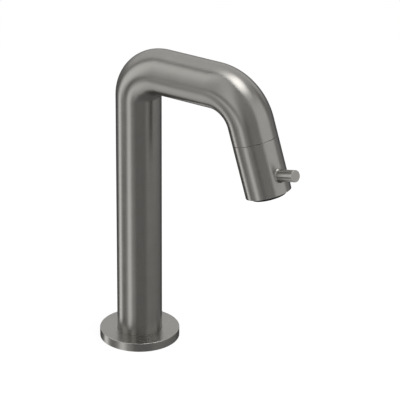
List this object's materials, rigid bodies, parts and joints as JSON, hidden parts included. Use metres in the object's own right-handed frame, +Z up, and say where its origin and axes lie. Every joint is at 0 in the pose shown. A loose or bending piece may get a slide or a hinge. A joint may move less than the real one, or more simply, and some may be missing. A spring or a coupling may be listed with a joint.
{
  "type": "basin tap",
  "caption": "Deck-mounted cold-water basin tap: bent round tube spout with a quarter-turn valve in its turning outlet, short pin lever, threaded shank and back nut.",
  "frame": {"origin": "centre of the flange's underside, where the tap meets the deck, on the column's axis", "axes": "+Z up along the column, -Y towards the user along the spout, X across"},
  "size_m": [0.0444, 0.1264, 0.222],
  "materials": {
    "brushed_gunmetal": "stainless steel with a dark grey-brown coating, finely brushed along the tube and round the flange",
    "brass": "turned, bare",
    "stainless_steel": "bare, satin",
    "black_rubber": "moulded, matt",
    "black_plastic": "moulded, fine satin",
    "white_plastic": "moulded, satin",
    "ceramic": "fired alumina, lapped faces"
  },
  "bodies": {
    "spout": {"spout_tube": "brushed_gunmetal", "flange": "brushed_gunmetal", "deck_gasket": "black_rubber", "shank": "brass", "shank_o_ring": "black_rubber", "end_bush": "brass", "body_o_ring": "black_rubber", "cartridge_body": "brass", "fixed_disc": "ceramic", "inlet_seal": "black_rubber", "seal_retainer": "brass", "slip_ring": "black_plastic"},
    "outlet_head": {"outlet_sleeve": "brushed_gunmetal", "lever_pin": "brushed_gunmetal", "lever_stud": "stainless_steel", "valve_spindle": "brass", "spindle_o_rings": "black_rubber", "spindle_circlip": "stainless_steel", "thrust_washer": "white_plastic", "moving_disc": "ceramic", "aerator_seal": "black_rubber", "aerator_housing": "black_plastic", "aerator_grid": "black_plastic", "aerator_mixer": "white_plastic", "aerator_strainer": "white_plastic"},
    "washers": {"rubber_washer": "black_rubber", "metal_washer": "stainless_steel"},
    "nut": {"back_nut": "brass"}
  },
  "joints": [
    {"name": "outlet_turn", "type": "hinge", "parent": "spout", "child": "outlet_head", "pos_m": [0, -0.08324, 0.10743], "axis": [0, -0.2957, -0.9553], "range_deg": [0, 90]},
    {"name": "nut_travel", "type": "slide", "parent": "spout", "child": "washers", "axis": [0, 0, 1], "range_m": [-0.006, 0.012]},
    {"name": "nut_turn", "type": "hinge", "parent": "washers", "child": "nut", "pos_m": [0, 0, -0.024], "axis": [0, 0, 1], "range_deg": [-1440, 2880]}
  ],
  "couplings": [
    {"joint": "nut_travel", "follows": "nut_turn", "m_per_rad": 0.00023873}
  ]
}
